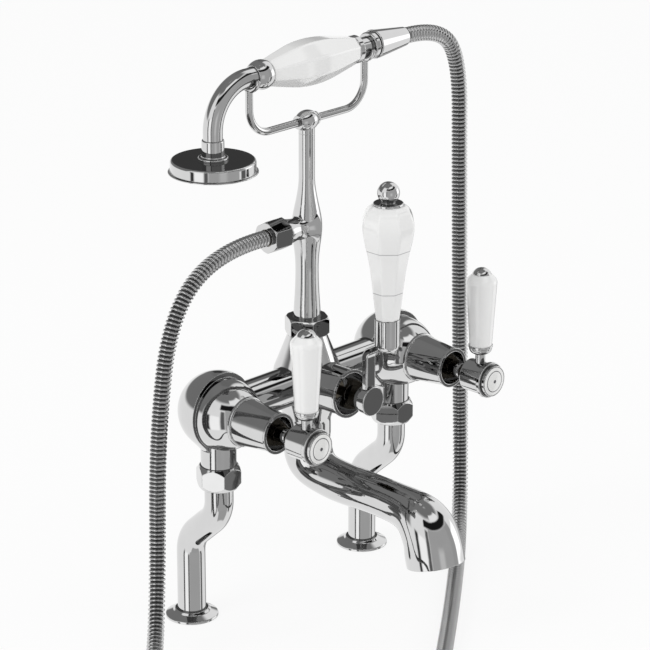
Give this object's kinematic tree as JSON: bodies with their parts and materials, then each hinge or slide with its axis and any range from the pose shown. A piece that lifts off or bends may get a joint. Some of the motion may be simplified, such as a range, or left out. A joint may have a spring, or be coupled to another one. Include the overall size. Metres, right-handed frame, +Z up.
{
  "type": "bath shower mixer",
  "caption": "Deck-standing bath mixer with set-back legs, turned-down spout, lever valves, tall diverter lever, and a cradled handset on a ribbed hose.",
  "frame": {"origin": "on the deck, midway between the centres of the two feet", "axes": "+Z up, -Y towards the front (the spout and levers), +X to the right of someone facing the mixer"},
  "size_m": [0.4535, 0.3033, 0.4195],
  "materials": {
    "chrome": "polished",
    "hose_chrome": "polished",
    "white_ceramic": "gloss",
    "index_enamel": "gloss",
    "valve_ceramic": "ground",
    "bare_brass": "machined",
    "steel_screw": "machined",
    "black_rubber": "matt",
    "white_plastic": "matt"
  },
  "bodies": {
    "base": {"body": "chrome", "spout": "chrome", "spout_flow_straightener": "white_plastic", "left_leg": "chrome", "right_leg": "chrome", "left_foot_flange": "chrome", "right_foot_flange": "chrome", "left_leg_nut": "chrome", "right_leg_nut": "chrome", "left_leg_washer": "black_rubber", "right_leg_washer": "black_rubber", "hot_cartridge": "bare_brass", "cold_cartridge": "bare_brass", "hot_seat_disc": "valve_ceramic", "cold_seat_disc": "valve_ceramic", "hot_shroud": "chrome", "cold_shroud": "chrome", "diverter_cartridge": "bare_brass", "diverter_shroud": "chrome", "riser_washer": "black_rubber", "riser_nut": "chrome", "riser": "chrome", "cradle_boss": "chrome", "cradle": "chrome", "hose_union_nut": "chrome", "hose_inlet_washer": "black_rubber", "hose_inlet_ferrule": "bare_brass", "shower_hose": "hose_chrome"},
    "hot_lever": {"hot_spindle": "bare_brass", "hot_moving_disc": "valve_ceramic", "hot_hub": "chrome", "hot_handle_screw": "steel_screw", "hot_index": "index_enamel", "hot_lever_collar": "chrome", "hot_lever_grip": "white_ceramic", "hot_lever_cap": "chrome"},
    "cold_lever": {"cold_spindle": "bare_brass", "cold_moving_disc": "valve_ceramic", "cold_hub": "chrome", "cold_handle_screw": "steel_screw", "cold_index": "index_enamel", "cold_lever_collar": "chrome", "cold_lever_grip": "white_ceramic", "cold_lever_cap": "chrome"},
    "diverter_lever": {"diverter_spindle": "bare_brass", "diverter_hub": "chrome", "diverter_arm": "chrome", "diverter_grip": "white_ceramic", "diverter_finial": "chrome"},
    "handset": {"handset_core_tube": "bare_brass", "handset_grip": "white_ceramic", "handset_front_ferrule": "chrome", "handset_neck": "chrome", "rose_collar": "chrome", "rose_body": "chrome", "rose_face": "chrome", "rose_seal": "black_rubber", "handset_tail": "chrome", "hose_cone": "chrome", "hose_washer": "black_rubber"}
  },
  "joints": [
    {"name": "hot_lever_turn", "type": "hinge", "parent": "base", "child": "hot_lever", "pos_m": [-0.09, -0.1175, 0.167], "axis": [0, 1, 0], "range_deg": [-90, 0]},
    {"name": "cold_lever_turn", "type": "hinge", "parent": "base", "child": "cold_lever", "pos_m": [0.09, -0.1175, 0.167], "axis": [0, 1, 0], "range_deg": [0, 90]},
    {"name": "diverter_turn", "type": "hinge", "parent": "base", "child": "diverter_lever", "pos_m": [0, -0.09, 0.167], "axis": [0, 1, 0], "range_deg": [-30, 30]},
    {"name": "handset_lift", "type": "slide", "parent": "base", "child": "handset", "axis": [0, 0, 1], "range_m": [0, 0.06]}
  ]
}
